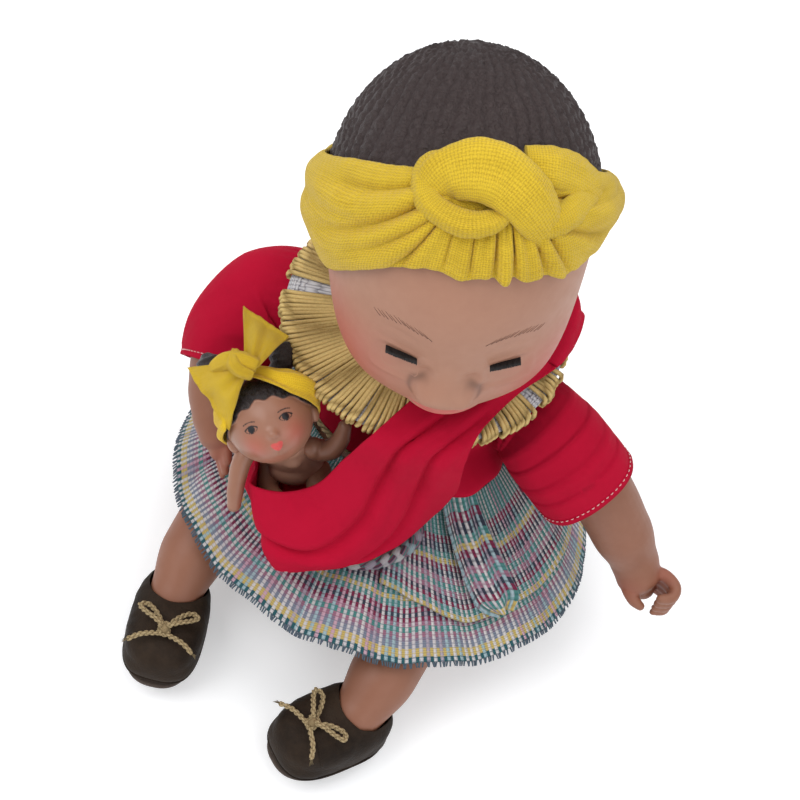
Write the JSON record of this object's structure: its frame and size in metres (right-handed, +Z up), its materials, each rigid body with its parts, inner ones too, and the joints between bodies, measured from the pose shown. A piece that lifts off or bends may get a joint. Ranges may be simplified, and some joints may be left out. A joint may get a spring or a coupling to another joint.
{
  "type": "doll",
  "caption": "Seated vinyl play doll with jointed limbs and sleep eyes, in a blouse, skirt, headband and corded collar, carrying a baby doll in a cloth sling.",
  "frame": {"origin": "middle of the flat seat under the torso, on the floor", "axes": "+Z up from the seat, the doll's chest faces -Y and its left side is at +X"},
  "size_m": [0.2525, 0.2456, 0.3021],
  "materials": {
    "skin": "soft matte vinyl",
    "plastic": "moulded",
    "eye": "glossy brown eye with a skin-coloured lid",
    "lash": "black bristle",
    "steel": "plain",
    "linen": "plain weave",
    "red": "plain weave",
    "weave": "striped open weave",
    "twine": "raffia and cord",
    "leather": "soft matte",
    "sole": "matte",
    "baby_skin": "satin vinyl"
  },
  "bodies": {
    "torso_body": {"torso": "skin", "neck_plug": "plastic", "blouse": "red", "collar": "weave", "collar_winding": "twine", "waist_tie": "twine", "skirt": "weave", "overskirt": "weave", "overskirt_knot": "weave", "sling": "red"},
    "head": {"head_shell": "skin", "eye_frame": "plastic", "eye_axle": "steel", "headband": "linen", "headband_knot": "linen"},
    "eyes": {"eye_left": "eye", "eye_right": "eye", "lashes_left": "lash", "lashes_right": "lash", "eye_weight": "steel"},
    "arm_left_body": {"arm_left": "skin", "sleeve_left": "red"},
    "arm_right_body": {"arm_right": "skin", "sleeve_right": "red"},
    "leg_left_body": {"leg_left": "skin", "shoe_left": "leather", "sole_left": "sole", "bow_left": "twine"},
    "leg_right_body": {"leg_right": "skin", "shoe_right": "leather", "sole_right": "sole", "bow_right": "twine"},
    "baby_body": {"baby_torso": "baby_skin"},
    "baby_head_body": {"baby_head": "baby_skin", "baby_wrap": "linen", "baby_wrap_knot": "linen"},
    "baby_arm_left_body": {"baby_arm_left": "baby_skin"},
    "baby_arm_right_body": {"baby_arm_right": "baby_skin"},
    "baby_leg_left_body": {"baby_leg_left": "baby_skin"},
    "baby_leg_right_body": {"baby_leg_right": "baby_skin"}
  },
  "joints": [
    {"name": "head_turn", "type": "hinge", "parent": "torso_body", "child": "head", "pos_m": [0, -0.004, 0.165], "axis": [0, 0, 1], "range_deg": [-80, 45]},
    {"name": "eye_close", "type": "hinge", "parent": "head", "child": "eyes", "pos_m": [0.02044, -0.04653, 0.21352], "axis": [0.9046, 0.4218, 0.061], "range_deg": [0, 38]},
    {"name": "arm_left_swing", "type": "hinge", "parent": "torso_body", "child": "arm_left_body", "pos_m": [0.0415, -0.002, 0.124], "axis": [1, 0, 0], "range_deg": [-120, 45]},
    {"name": "arm_right_swing", "type": "hinge", "parent": "torso_body", "child": "arm_right_body", "pos_m": [-0.0415, -0.002, 0.124], "axis": [1, 0, 0], "range_deg": [-12, 10]},
    {"name": "leg_left_swing", "type": "hinge", "parent": "torso_body", "child": "leg_left_body", "pos_m": [0.0335, -0.014, 0.027], "axis": [1, 0, 0], "range_deg": [-12, 80], "deforming": ["skirt", "overskirt", "overskirt_knot", "sling"]},
    {"name": "leg_right_swing", "type": "hinge", "parent": "torso_body", "child": "leg_right_body", "pos_m": [-0.0335, -0.014, 0.027], "axis": [1, 0, 0], "range_deg": [-12, 80], "deforming": ["skirt", "overskirt", "overskirt_knot"]},
    {"name": "baby_lift", "type": "slide", "parent": "torso_body", "child": "baby_body", "axis": [0, -0.5, 0.866], "range_m": [0, 0.05], "deforming": ["sling"]},
    {"name": "baby_head_turn", "type": "hinge", "parent": "baby_body", "child": "baby_head_body", "pos_m": [-0.03162, -0.06817, 0.12063], "axis": [-0.2001, -0.3352, 0.9206], "range_deg": [-4, 25]},
    {"name": "baby_arm_left_swing", "type": "hinge", "parent": "baby_body", "child": "baby_arm_left_body", "pos_m": [-0.02982, -0.06516, 0.11234], "axis": [0.955, 0.1432, 0.2598], "range_deg": [-15, 15]},
    {"name": "baby_arm_right_swing", "type": "hinge", "parent": "baby_body", "child": "baby_arm_right_body", "pos_m": [-0.02982, -0.06516, 0.11234], "axis": [0.955, 0.1432, 0.2598], "range_deg": [-30, 5]},
    {"name": "baby_leg_left_swing", "type": "hinge", "parent": "baby_body", "child": "baby_leg_left_body", "pos_m": [-0.02418, -0.0583, 0.08782], "axis": [0.955, 0.1432, 0.2598], "range_deg": [-10, 10]},
    {"name": "baby_leg_right_swing", "type": "hinge", "parent": "baby_body", "child": "baby_leg_right_body", "pos_m": [-0.02418, -0.0583, 0.08782], "axis": [0.955, 0.1432, 0.2598], "range_deg": [-4, 10]}
  ]
}
